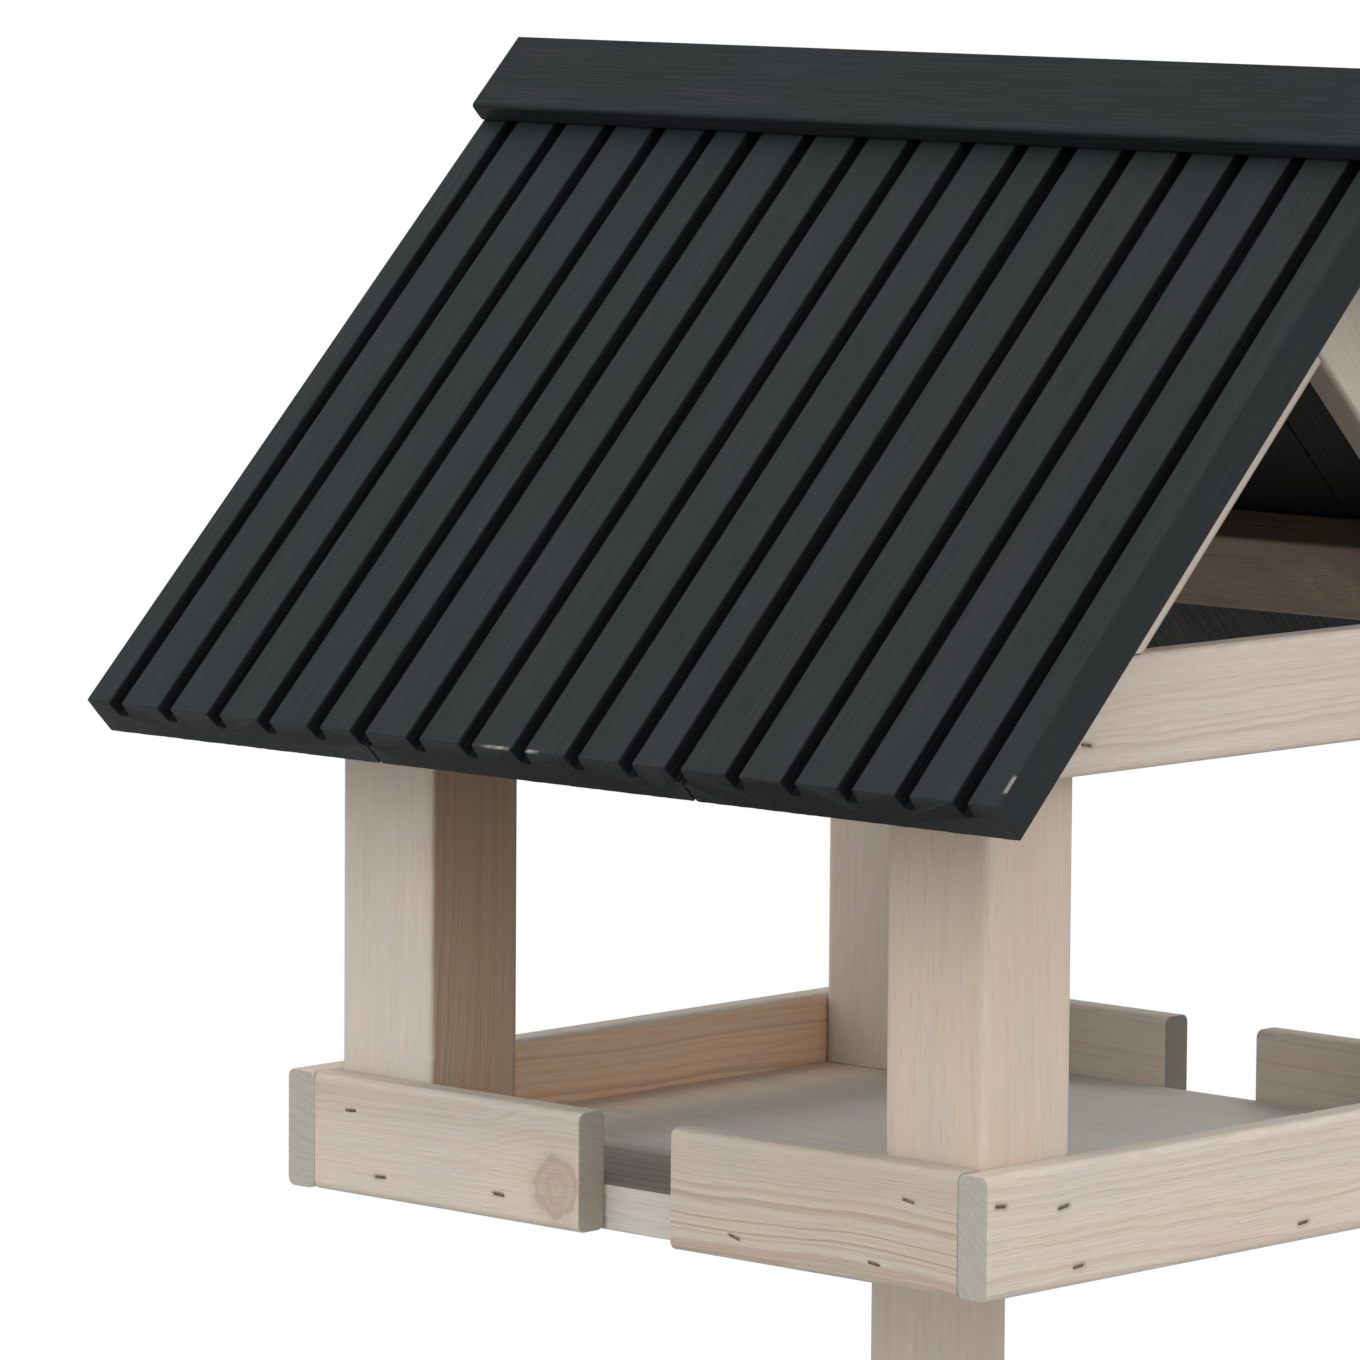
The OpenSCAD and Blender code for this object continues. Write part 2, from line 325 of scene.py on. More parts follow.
def blend(tree, share, low, high, mode="MIX"):
    """Mixes two colours by a share."""
    made = add(tree, "Mix", {0: share, 6: low, 7: high}, data_type="RGBA", blend_type=mode)
    return made.outputs[2]


def read(tree, name, part="Vector"):
    """An attribute of the piece."""
    return add(tree, "Attribute", attribute_name=name).outputs[part]


def use(tree, group, **inputs):
    """Places a node group; an input's name has _ for a space."""
    return add(tree, "Group", {name.replace("_", " "): value for name, value in inputs.items()},
               node_tree=bpy.data.node_groups[group]).outputs


def wood(name, worn_amount, ring_width):
    """A new material with all that a wood finish reads: (material, tree, what the wood has)."""
    material = bpy.data.materials.new(name)
    tree = emptied(material)
    board = dict(Stock=read(tree, "stock"), Lot=read(tree, "lot", "Fac"))
    both = dict(board, Knot=read(tree, "knot"))
    figure, warm, wash = add(tree, "SeparateXYZ", {0: read(tree, "make")}).outputs
    arris, end, mark = add(tree, "SeparateXYZ", {0: read(tree, "state")}).outputs
    has = dict(figure=figure, warm=warm, wash=wash, end=end, mark=mark)
    for outputs in (use(tree, "growth_rings", Ring_Width=ring_width, **both),
                    use(tree, "fibres", **board), use(tree, "knots", **both),
                    use(tree, "arris_wear", Arris=arris, Amount=worn_amount, **board)):
        has.update({socket.name.lower(): socket for socket in outputs})
    return material, tree, SimpleNamespace(**has)


def layered(tree, colour, *layers):
    """Lays colours over a colour; a layer is a colour and the factors of its share."""
    for over, *factors in layers:
        colour = blend(tree, times(tree, *factors), colour, over)
    return colour


def finish(tree, colour, roughness, height, depth, strength=1.0, **more):
    """The Principled BSDF with a bump of the given depth in metres, and the output."""
    bump = add(tree, "Bump", {"Height": height, "Strength": strength, "Distance": depth})
    inputs = {"Base Color": colour, "Roughness": roughness, "Normal": bump.outputs[0]}
    inputs |= {name.replace("_", " "): value for name, value in more.items()}
    add(tree, "OutputMaterial", {0: add(tree, "BsdfPrincipled", inputs).outputs[0]})


# %% Pale washed pine and the grey floor board
# The brown of the marks on pale wood is a stain round a staple, a darker tone on some boards, and
# painted shade where a board lies in shade.
WARM_SOFT, WARM_HARD, DIRT_AND_SHADE = paint(235, 194, 158), paint(160, 112, 78), paint(70, 58, 46)
KNOT_DARK, KNOT_LIGHT, KNOT_RIM = paint(160, 140, 128), paint(174, 155, 143), paint(140, 116, 100)
END_LINES, RUBBED = paint(86, 74, 60), paint(222, 212, 198)


def washed(name, soft, hard, brown, pink, cool, end, ring_width, worn_amount):
    """Pine under a thin wash.

    The colour starts as early wood.  Over it lie pink and cool patches, brown streaks, late
    wood by the ring's height and its own tone, flecks, end grain, knots, worn arrises and a
    brown mark, which is the stain round a staple, a darker tone on some boards and painted
    shade where a board lies in shade, each of them by a mask times its own strength.  A warm
    board shows bare wood.
    """
    material, tree, has = wood(name, worn_amount, ring_width)
    late = blend(tree, has.warm, paint(*hard), WARM_HARD)
    ring = times(tree, has.late, has.figure, spread(tree, has.tone, 0.0, 1.0, 0.15, 0.85))
    even = scaled(tree, has.warm, -0.85, 1.0)
    colour = layered(tree, blend(tree, has.warm, paint(*soft), WARM_SOFT),
                     (paint(*pink), spread(tree, has.patch, 0.35, 1.0, 0.0, 0.60), even),
                     (paint(*cool), spread(tree, has.patch, 0.55, 0.0, 0.0, 0.50), even),
                     (paint(*brown), spread(tree, has.streak, 0.5, 1.0), has.wash, 0.7),
                     (late, ring))
    grey = scaled(tree, calc(tree, "SUBTRACT", has.fine, 0.5), 0.07, 1.0)
    grey = add(tree, "CombineColor", {0: grey, 1: grey, 2: grey}).outputs[0]
    end = paint(*end)
    sawn = blend(tree, times(tree, has.late, 0.14), end, blend(tree, 0.5, end, END_LINES))
    rough_end = spread(tree, has.fleck, 0.0, 1.0, 0.9, 0.6)
    colour = layered(tree, blend(tree, 1.0, colour, grey, "MULTIPLY"),
                     (late, has.fleck, 0.16), (sawn, has.end, rough_end),
                     (blend(tree, has.turn, KNOT_DARK, KNOT_LIGHT), has.core, 0.60),
                     (KNOT_RIM, has.rim, 0.13), (RUBBED, has.worn, 0.35), (DIRT_AND_SHADE, has.mark))
    rough = scaled(tree, has.fine, 0.16, 0.58)
    rough = scaled(tree, ring, -0.10, rough)
    height = scaled(tree, has.late, times(tree, has.figure, 0.35), has.fine)
    height = scaled(tree, has.fleck, -0.6, height)
    finish(tree, colour, rough, height, 0.00008, Specular_IOR_Level=0.3)
    return material


pale = washed("washed_pine", soft=(206, 195, 183), hard=(174, 147, 126), brown=(189, 168, 146),
              pink=(205, 189, 180), cool=(196, 193, 186), end=(167, 165, 157),
              ring_width=0.0031, worn_amount=0.5)
grey_floor = washed("weathered_floor", soft=(218, 215, 208), hard=(176, 169, 159),
                    brown=(158, 148, 136), pink=(210, 205, 199), cool=(205, 210, 206),
                    end=(200, 191, 178), ring_width=0.0042, worn_amount=0.4)
print("pale finishes:", pale.name, grey_floor.name)

# %% Dark stained pine
dark, tree, has = wood("dark_stain", worn_amount=0.12, ring_width=0.0034)
# The last layer lays near black: painted shade toward the bottom of the grooves and on the roof's
# underside, and a darker stain on the ridge boards.
colour = layered(tree, blend(tree, has.warm, paint(28, 38, 40), paint(38, 38, 38)),
                 (paint(35, 40, 45), spread(tree, has.patch, 0.40, 1.0, 0.0, 0.8)),
                 (paint(30, 37, 37), spread(tree, has.patch, 0.55, 0.0, 0.0, 0.8)),
                 (paint(45, 45, 45), spread(tree, has.streak, 0.5, 1.0), has.wash, 0.40),
                 (paint(30, 34, 36), has.late, has.figure, has.tone, 0.35),
                 (paint(26, 29, 31), has.fleck, 0.25), (paint(38, 42, 43), has.end, 0.6),
                 (paint(34, 32, 32), has.core, 0.7), (paint(92, 96, 98), has.worn, 0.30),
                 (paint(158, 156, 150), has.mark),
                 (paint(6, 9, 11), read(tree, "shade_and_stain", "Fac"), 0.92))
height = scaled(tree, has.late, 0.5, has.fine)
height = scaled(tree, has.fleck, -0.8, height)
finish(tree, colour, scaled(tree, has.fine, 0.18, 0.52), height, 0.00009,
       Specular_IOR_Level=0.125)

# %% Staple wire
wire = bpy.data.materials.new("staple_wire")
tree = emptied(wire)
spots = add(tree, "TexNoise", {"Vector": add(tree, "TexCoord").outputs["Object"],
                               "Scale": 900.0, "Detail": 2.0}).outputs["Fac"]
rust = spread(tree, spots, 0.42, 0.62)
finish(tree, blend(tree, rust, paint(118, 110, 102), paint(88, 68, 54)),
       spread(tree, rust, 0.0, 1.0, 0.45, 0.8), spots, 0.00005, 0.6,
       Metallic=spread(tree, rust, 0.0, 1.0, 0.9, 0.1))
print("finishes:", pale.name, grey_floor.name, dark.name, wire.name)

# %% [markdown]
# ## A board as a profile carried along a path
# A planed board has the same section all along, so its surface is a function of two
# numbers: how far round the section, and how far along the board.  The section is an
# outline with rounded corners.  It is carried from one end to the other, and close to
# each end it shrinks along a quarter circle, which eases the sawn edge.

# %% Outline with rounded corners
def rounded_outline(corners, radii, steps=4, margin=1.2 * MM):
    """A counter-clockwise outline with its corners rounded: (points, outward normals).

    At a corner whose edges face n_in and n_out, the arc's centre lies at the corner minus
    turn * radius * (n_in + n_out) / (1 + n_in . n_out), where turn is 1 if the corner points
    out and -1 if it points in.  The arc's points are the centre plus turn * radius * n, with n
    going from n_in to n_out by equal angles.  A point a margin away on each side of the arc
    keeps the flat faces flat.
    """
    corner = np.asarray(corners, float)
    radius = np.broadcast_to(radii, len(corner)).astype(float)[:, None, None]
    leave = np.roll(corner, -1, 0) - corner
    leave /= np.linalg.norm(leave, axis=1)[:, None]
    arrive = np.roll(leave, 1, 0)
    n_in, n_out = (np.stack([way[:, 1], -way[:, 0]], 1)[:, None] for way in (arrive, leave))
    turn = np.sign(arrive[:, 0] * leave[:, 1] - arrive[:, 1] * leave[:, 0])[:, None, None]
    cosine = (n_in * n_out).sum(2, keepdims=True)
    angle = np.arccos(cosine)
    share = np.linspace(0, 1, steps + 1)[None, :, None]
    normal = (np.sin((1 - share) * angle) * n_in + np.sin(share * angle) * n_out) / np.sin(angle)
    centre = corner[:, None] - turn * radius * (n_in + n_out) / (1 + cosine)
    arc = centre + turn * radius * normal
    points = np.concatenate([arc[:, :1] - margin * arrive[:, None], arc,
                             arc[:, -1:] + margin * leave[:, None]], 1)
    normals = np.concatenate([normal[:, :1], normal, normal[:, -1:]], 1)
    return points.reshape(-1, 2), normals.reshape(-1, 2)


POINT_GAP, RING_GAP = 9 * MM, 14 * MM
STEP, APART = 0.25 * MM, 0.3 * MM


def denser(outline, gap, places=()):
    """The same outline with more points: one every gap, and one nearest each (u, v) place.

    Points are added by their length round the outline, in whole steps and apart from the
    points that are there.
    """
    points, normals = outline
    closed, facing = np.vstack([points, points[:1]]), np.vstack([normals, normals[:1]])
    step = np.diff(closed, axis=0)
    run = np.linalg.norm(step, axis=1)
    at = np.append(0, np.cumsum(run))
    extra = np.arange(gap / 2, at[-1], gap)
    if len(places):
        offset = np.asarray(places)[:, None] - points
        share = np.clip((offset * step).sum(2) / run ** 2, 0, 1)
        near = np.linalg.norm(offset - share[..., None] * step, axis=2).argmin(1)
        extra = np.append(extra, at[near] + share[np.arange(len(near)), near] * run[near])
    extra = np.unique(np.round(extra / STEP) * STEP)
    extra = extra[np.abs(extra[:, None] - at).min(1) > APART]
    length = np.sort(np.append(at[:-1], extra))
    return tuple(np.stack([np.interp(length, at, line[:, k]) for k in (0, 1)], 1)
                 for line in (closed, facing))


def section(low, high, radii, steps=4, gap=POINT_GAP, places=()):
    """The outline of a rectangle with rounded corners, from its low to its high corner."""
    corners = [(low[0], low[1]), (high[0], low[1]), (high[0], high[1]), (low[0], high[1])]
    return denser(rounded_outline(corners, radii, steps), gap, places)


# %% The swept surface
EASE_STEPS = 3


def between(count):
    """The shares of a number of rings that lie evenly between the two ends."""
    return np.linspace(0, 1, count + 2)[1:-1]


def tube_faces(rings, count):
    """The faces of a tube: quads between its rings of points, and a flat face at each end."""
    index = np.arange(rings * count).reshape(rings, count)
    ahead = np.roll(index, -1, 1)
    quads = np.stack([index[:-1], ahead[:-1], ahead[1:], index[1:]], 2).reshape(-1, 4)
    return quads.tolist() + [index[0, ::-1].tolist(), index[-1].tolist()]


def swept(outline, axes, low, high, shares, ease, lip=0.25 * MM):
    """The surface of a board: (points and outward normals in rings, the faces' corners).

    axes are the section's u and v directions and the path's own.  A ring at share t lies at
    (1 - t) * low + t * high along the path, where low and high may depend on (u, v), so that an
    end can be cut at a slant.  At an end, ring k of the easing is drawn in by ease * (1 - sin a)
    and lies ease * (1 - cos a) from the end, with a from 0 to a right angle.  One more ring,
    drawn in by the lip, keeps the sawn face flat.
    """
    points, normals = outline
    ease = np.broadcast_to(ease, len(points)).astype(float)
    angle = np.linspace(0, np.pi / 2, EASE_STEPS + 1)[:, None]
    drawn = np.vstack([ease + lip, ease * (1 - np.sin(angle))])
    back = np.vstack([0 * ease, ease * (1 - np.cos(angle))])
    tilt, straight = np.append(0, angle), np.zeros(len(shares))
    inset = np.vstack([drawn, np.outer(straight, ease), drawn[::-1]])
    flat = points - inset[..., None] * normals
    u, v = flat[..., 0], flat[..., 1]
    first, last = (np.broadcast_to(cut(u, v) if callable(cut) else cut, u.shape)
                   for cut in (low, high))
    n, share = len(back), np.reshape(shares, (-1, 1))
    along = np.concatenate([first[:n] + back, first[n:-n] * (1 - share) + last[n:-n] * share,
                            last[-n:] - back[::-1]])
    lean = np.r_[-np.cos(tilt), straight, np.cos(tilt)[::-1]][:, None, None]
    rise = np.r_[np.sin(tilt), straight + 1, np.sin(tilt)[::-1]][:, None, None]
    side, up, path = axes
    place = u[..., None] * side + v[..., None] * up + along[..., None] * path
    out = rise * (normals[:, :1] * side + normals[:, 1:] * up) + lean * path
    return place, out, tube_faces(*u.shape)


def fine_near(places, start, end, reach=5 * MM, step=0.6 * MM):
    """Numbers between start and end that are close together within reach of each place."""
    local = np.arange(-reach, reach + step / 2, step)
    found = np.add.outer(np.asarray(places, float), local).ravel()
    return found[(found > start) & (found < end)]


# %% [markdown]
# ## What each board is
# No two boards are cut from the same place in the stem.  A board's look says where
# its pith lies, how strongly its rings show, how warm and how bare the wood is, and
# where its knots are.  Boards that get no look of their own draw one from a seeded
# generator, by their place in the list of nodes.

# %% Pits in a face
PIT_INNER, PIT_OUTER, PIT_DEPTH, PIT_SIDE = np.array([0.25, 0.95, 0.6, 1.5]) * MM
PIT_GAP, STAIN_INNER, STAIN_OUTER, HALF_CROWN = np.array([0.55, 0.3, 2.2, 2.3]) * MM


def pitted(place, out, mark, pits, draw):
    """The places with pits pressed into them, and the marks with a stain round each pit.

    A pit is the dent round a staple's crown, and is given by the crown's middle and
    direction and the face's outward normal.  Its depth falls from full to none as the
    distance from the crown goes from the inner to the outer radius.
    """
    for middle, line, normal in pits:
        offset = place - middle
        near, rise = np.clip(offset @ line, -HALF_CROWN, HALF_CROWN), offset @ normal
        gap = np.linalg.norm(offset - near[:, None] * line - rise[:, None] * normal, axis=1)
        on_face = (out @ normal > 0.95) & (np.abs(rise) < PIT_SIDE)
        depth = np.clip((PIT_OUTER - gap) / (PIT_OUTER - PIT_INNER), 0, 1) * on_face
        place = place - normal * (PIT_DEPTH * depth)[:, None]
        stain = np.clip((STAIN_OUTER - gap) / (STAIN_OUTER - STAIN_INNER), 0, 1) ** 1.5
        mark = np.maximum(mark, stain * on_face * draw.uniform(0.25, 0.6))
    return place, mark


# %% One board, with its attributes
ORDER = sorted(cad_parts)
SAW_DEPTH, SAW_WAVES = 0.12 * MM, ((37, 60, 0), (71, 0, -90))
SHARP, NO_KNOT = math.radians(38), (50.0, 0, 0)


def put(mesh, name, values):
    """Writes one attribute for every point of a mesh: numbers, or vectors of three."""
    values = np.asarray(values, np.float32)
    kind, field = ("FLOAT", "value") if values.ndim == 1 else ("FLOAT_VECTOR", "vector")
    mesh.attributes.new(name, kind, "POINT").data.foreach_set(field, values.ravel())


def timber(node, surface, axes, finish=pale, look=None, pits=(), marks=0.0, shade_and_stain=0.0):
    """Makes a CAD board's visible piece from its swept surface, with the grain along the path.

    The stock is a point's place along the grain and across it from the pith.  The arris is
    1 where a normal lies between the board's own directions, and the end grain is 1 where
    it lies along the grain.  Long waves of the saw lower the flat faces a little.  What a
    look holds is a number for the whole board, or a function of the places and normals;
    its shade darkens a pale board toward brown and a dark one toward near black, and it is
    painted shade on some boards and a darker tone on others.  A knot is its middle, its
    direction and its size in mm.
    """
    place, out, faces = surface
    mark, shade_and_stain = (np.broadcast_to(value, place.shape[:2]).ravel() for value in (marks, shade_and_stain))
    place, out = place.reshape(-1, 3), out.reshape(-1, 3)
    draw = np.random.default_rng([11, ORDER.index(node)])
    look = dict(pith=(draw.uniform(-30, 30), draw.choice([-1, 1]) * draw.uniform(20, 70)),
                lot=draw.uniform(0, 40), figure=draw.uniform(0.4, 0.9),
                warm=draw.uniform(0.0, 0.25), wash=draw.uniform(0.3, 0.7), shade=0.0,
                knot=None) | (look or {})
    side, up, grain = axes
    stock = ((place - sum(box(node)) / 2) @ np.stack([grain, side, up], 1)
             - MM * np.array([0, *look["pith"]]))
    face = np.abs(out @ np.stack(axes, 1)).max(1)
    arris = np.clip((1 - face) / 0.075, 0, 1)
    end = np.clip((np.abs(out @ grain) - 0.6) / 0.3, 0, 1)
    uneven = 0.5 + 0.25 * sum(np.sin(stock @ wave + start)
                              for wave, start in zip(SAW_WAVES, draw.uniform(0, 6.3, 4)))
    place = place - out * (SAW_DEPTH * uneven * (face > 0.99) * (end < 0.1))[:, None]
    place, mark = pitted(place, out, mark, pits, draw)
    ones = np.ones(len(place))
    *amount, shade = (look[key](place, out) if callable(look[key]) else look[key] * ones
                      for key in ("figure", "warm", "wash", "shade"))
    if finish == dark:
        shade_and_stain = np.maximum(shade_and_stain, shade)
    else:
        mark = np.maximum(mark, shade)
    knot = ones[:, None] * NO_KNOT
    if look["knot"]:
        middle, line, size = look["knot"]
        offset = place - middle
        knot = (offset - (offset @ line)[:, None] * line) / (size * MM)

    mesh = bpy.data.meshes.new(node + "_timber")
    mesh.from_pydata(place.tolist(), [], faces)
    mesh.shade_smooth()
    mesh.set_sharp_from_angle(angle=SHARP)
    for name, values in (("stock", stock), ("lot", look["lot"] * ones),
                         ("make", np.stack(amount, 1)), ("knot", knot), ("shade_and_stain", shade_and_stain),
                         ("state", np.stack([arris, end, mark], 1))):
        put(mesh, name, values)
    piece = placed(node + "_timber", mesh)
    mesh.materials.append(finish)
    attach(piece, "root")
    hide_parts(node)
    return piece


# %% A straight board
X, Y, Z = np.eye(3)
TURNS = {"x": [1, 2, 0], "y": [2, 0, 1], "z": [0, 1, 2]}
SAWN_EDGE = 0.5 * MM


def plank(node, along, radius, finish=pale, look=None, pits=(), top=None, ease=SAWN_EDGE,
          steps=4, stops=()):
    """A straight board from its CAD box: a rounded rectangle carried along x, y or z.

    The rings of points lie close together near the stops and the pits.
    """
    *uv, s = TURNS[along]
    low, high = box(node)
    places, stops = [], list(stops)
    for middle, line, normal in pits:
        way = 1 - np.abs(normal[uv])
        places += [middle[uv] + way * k * PIT_GAP for k in range(-5, 6)]
        stops.append(middle[s])
    outline = section(low[uv], high[uv], radius, steps, places=places)
    length, margin = high[s] - low[s], 2 * MM
    stations = np.append(np.linspace(low[s], high[s], 2 + int(length / RING_GAP))[1:-1],
                         fine_near(stops, low[s] + margin, high[s] - margin))
    shares = np.unique(np.round((stations - low[s]) / length, 5))
    axes = np.eye(3)[TURNS[along]]
    surface = swept(outline, axes, low[s], top or high[s], shares, ease)
    return timber(node, surface, axes, finish, look, pits)


# %% [markdown]
# ## Staples
# The rails and ties are fixed with staples shot through their faces.  Each crown is a
# little wire lying in a shallow pit, with a dark stain round it.  The pits are made in
# the boards' own surfaces, and all the crowns together are one piece.

# %% Where the staples are
FRONT_SPOTS = {"left": [(-133, 30), (-118, 8), (-60, 9)], "right": [(129, 30), (51, 8), (114, 7)]}
GABLE_SPOTS = [(-157, 31.5), (-125, 27.5), (-117, 6.5), (2, 6.5), (119, 7), (131, 29), (156, 12)]
TIE_SPOTS = [(-116, 10.5), (-141, 32), (139, 30), (121, 9)]
slant = np.random.default_rng(5)


def pits_of(node, normal, spots, turned):
    """Pits on the outer face of a board: (middle, direction, outward normal) each.

    A spot is (distance along the board, height above its lower edge) in millimetres; turned
    is -1 where the board is the same one turned half round.
    """
    low, high = box(node)
    face = np.where(normal > 0, high, low) * np.abs(normal)
    along = np.abs(np.cross(normal, Z))
    angle = slant.uniform(-0.25, 0.12, len(spots))
    return [(face + along * turned * spot * MM + Z * (low[2] + up * MM),
             along * math.cos(a) + Z * math.sin(a), normal)
            for (spot, up), a in zip(spots, angle)]


pits = {node: pits_of(node, normal, spots, turned) for node, normal, spots, turned in (
    ("rail_front_left", -Y, FRONT_SPOTS["left"], 1),
    ("rail_front_right", -Y, FRONT_SPOTS["right"], 1),
    ("rail_back_left", Y, FRONT_SPOTS["right"], -1),
    ("rail_back_right", Y, FRONT_SPOTS["left"], -1),
    ("rail_right", X, GABLE_SPOTS, 1), ("rail_left", -X, GABLE_SPOTS, -1),
    ("tie_right", X, TIE_SPOTS, 1), ("tie_left", -X, TIE_SPOTS, -1))}
every_pit = [pit for group in pits.values() for pit in group]
print("staples:", len(every_pit))

# %% Staple crowns
WIRE_RADIUS, WIRE_DEPTH, SIDES = 0.42 * MM, 0.62 * MM, 6


def crowns(all_pits):
    """The points and faces of short wires: hexagons carried along a line, with smaller ends.

    Point (i, j) of a crown is its middle + t_i * half * line + r_i * (cos a_j * normal +
    1.3 * sin a_j * across), and the middle lies a wire's depth under the board's face.
    """
    share = np.array([-1.12, -1.0, 1.0, 1.12])[:, None, None]
    radius = WIRE_RADIUS * np.array([0.45, 1.0, 1.0, 0.45])[:, None, None]
    angle = np.arange(SIDES)[None, :, None] * 2 * np.pi / SIDES
    middle, line, normal = (np.stack([pit[k] for pit in all_pits])[:, None, None]
                            for k in range(3))
    place = (middle - normal * WIRE_DEPTH + share * HALF_CROWN * line
             + radius * (np.cos(angle) * normal + 1.3 * np.sin(angle) * np.cross(normal, line)))
    one = tube_faces(4, SIDES)
    return place.reshape(-1, 3), [[corner + 4 * SIDES * k for corner in face[::-1]]
                                  for k in range(len(all_pits)) for face in one]


place, faces = crowns(every_pit)
mesh = bpy.data.meshes.new("staples")
mesh.from_pydata(place.tolist(), [], faces)
mesh.shade_smooth()
mesh.materials.append(wire)
staples = placed("staples", mesh)
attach(staples, "root")
print("staple crowns:", len(every_pit), "faces:", len(faces))

# %% [markdown]
# ## Floor, rails and ties
# The rails wrap the floor board, and their round edges catch the light.  The front
# rails differ: the left one is nearly plain and has a knot close to the gap, and the
# right one shows wavy rings in its lower part.  So a look can change over a board.

# %% How a look changes over a board
def extent(node, axis):
    """The lowest and highest value of a CAD box along one of its own directions."""
    low, high = box(node)
    return sorted((low @ axis, high @ axis))


def smooth(value):
    """From 0 to 1 with soft ends, as a value goes from 0 to 1."""
    share = np.clip(value, 0, 1)
    return share * share * (3 - 2 * share)


def height_fade(bottom, top, low, high):
    """A strength that goes from low at the bottom height to high at the top height."""
    return lambda place, out: low + (high - low) * smooth((place[:, 2] - bottom) / (top - bottom))


def facing(way, yes, no=0.0):
    """One value on the faces that look a given way, and another elsewhere."""
    return lambda place, out: np.where(out @ way > 0.8, yes, no)


# %% [markdown]
# The floor board is greyer than the rest.  It is darker toward the front, with a painted
# shadow in the corners by the gaps.  Painted shade darkens and browns it toward the left,
# and beside the bare rail a painted warm reflection of the rail takes its place.

# %% Floor board
floor_high = box("floor_board")[1]
LEFT_FROM, LEFT_OVER, RAIL_FROM, RAIL_OVER = np.array([35, 65, 100, 40]) * MM
GAP = extent("rail_front_right", X)[0]


def darker_front_corner_shadow(place, out):
    """Darker toward the front of the floor, and a painted shadow on its edges in the corners by
    the gaps.
    """
    darker_front = 0.03 + 0.80 * smooth((-place[:, 1] / floor_high[1] - 0.38) / 0.34)
    corner = np.clip(1.3 - np.abs(np.abs(place[:, 0]) - GAP) / (1.6 * MM), 0, 1)
    return np.where(out[:, 2] > 0.5, darker_front, 0.55 * corner * (np.abs(out[:, 1]) > 0.5))


def leftward(place):
    """Two shares, each from 0 to 1 toward the left: in from the middle, and beside the rail."""
    return (smooth((-place[:, 0] - LEFT_FROM) / LEFT_OVER),
            smooth((-place[:, 0] - RAIL_FROM) / RAIL_OVER))


def floor_shade(place, out):
    """The darker front, and painted shade over the left of the top that clears up at the rail;
    the edges and underside are a little darker.
    """
    left, beside = leftward(place)
    dark_left = 0.46 * left * (1 - beside)
    return np.maximum(darker_front_corner_shadow(place, out), np.where(out[:, 2] > 0.5, dark_left, 0.20))


def floor_warmth(place, out):
    """Painted warmth: browner toward the left with the painted shade, and most beside the bare
    rail as its painted warm reflection.
    """
    left, beside = leftward(place)
    return np.where(out[:, 2] > 0.5, 0.18 * left + 0.27 * beside, 0.07)


plank("floor_board", "x", 0.8 * MM, grey_floor, ease=0.6 * MM, steps=3, stops=(-GAP, GAP),
      look=dict(pith=(-40, -60), lot=3.1, figure=0.25, warm=floor_warmth, shade=floor_shade,
                wash=lambda place, out: 0.15 + 1.2 * darker_front_corner_shadow(place, out)))

# %% Looks of the rails and ties
(rail_foot, rail_top), tie_foot = extent("rail_right", Z), extent("tie_right", Z)[0]
knot_left = (np.array([-32 * MM, 0, rail_foot + 15 * MM]), Y, 11.5)
left_top = height_fade(rail_top - 22 * MM, rail_top - 8 * MM, 0.06, 0.17)
RAIL_LOOKS = {
    # The front left rail's end at the gap is darkened with painted shade.
    "rail_front_left": dict(
        pith=(24, 62), lot=2.0, warm=facing(X, 0.45, 0.02), wash=0.25, knot=knot_left,
        figure=height_fade(rail_foot + 20 * MM, rail_top, 0.12, 0.52),
        shade=lambda place, out: np.maximum(facing(X, 0.26)(place, out), left_top(place, out))),
    "rail_front_right": dict(
        pith=(8, -66), lot=8.3, warm=0.05, wash=0.12,
        figure=height_fade(rail_top - 9 * MM, rail_top - 18 * MM, 0.10, 0.95),
        shade=height_fade(rail_top - 18 * MM, rail_top - 9 * MM, 0.17, 0.24)),
    # The back left rail's end at the gap is darkened with painted shade.
    "rail_back_left": dict(pith=(-20, -52), lot=5.2, figure=0.3, warm=0.0, wash=0.15,
                           shade=facing(X, 0.62)),
    "rail_back_right": dict(pith=(-16, 40), lot=6.1, figure=0.3, warm=0.0, wash=0.15),
    "rail_right": dict(pith=(-52, -46), lot=11.4, figure=0.36, warm=0.03, wash=0.15),
    "rail_left": dict(pith=(74, 16), lot=14.2, figure=0.62, warm=facing(X, 0.80, 0.1), wash=0.0),
    "tie_right": dict(pith=(-44, -20), lot=17.7, warm=0.0, wash=0.2,
                      figure=height_fade(tie_foot + 16 * MM, tie_foot + 30 * MM, 0.48, 0.15)),
    "tie_left": dict(pith=(50, 24), lot=19.5, figure=0.5, warm=0.10, wash=0.4),
}

# %% Rails and ties
THIN_EDGE, SEAM = 3 * MM, 0.3 * MM


def seamed(shade):
    """The same shade, with a dark seam where a rail's end meets the gable rail."""
    def value(place, out):
        depth = np.where(place[:, 0] < 0, 0.80, 0.30)
        seam = depth * (np.abs(place[:, 0]) > floor_high[0] - SEAM)
        return np.maximum(shade(place, out) if callable(shade) else shade, seam)
    return value


for node, look in RAIL_LOOKS.items():
    under_eave = "front" in node or "back" in node
    if under_eave:
        look |= dict(shade=seamed(look.get("shade", 0.0)))
    plank(node, "x" if under_eave else "y", THIN_EDGE, look=look, pits=pits[node])
print("rails and ties:", len(RAIL_LOOKS))

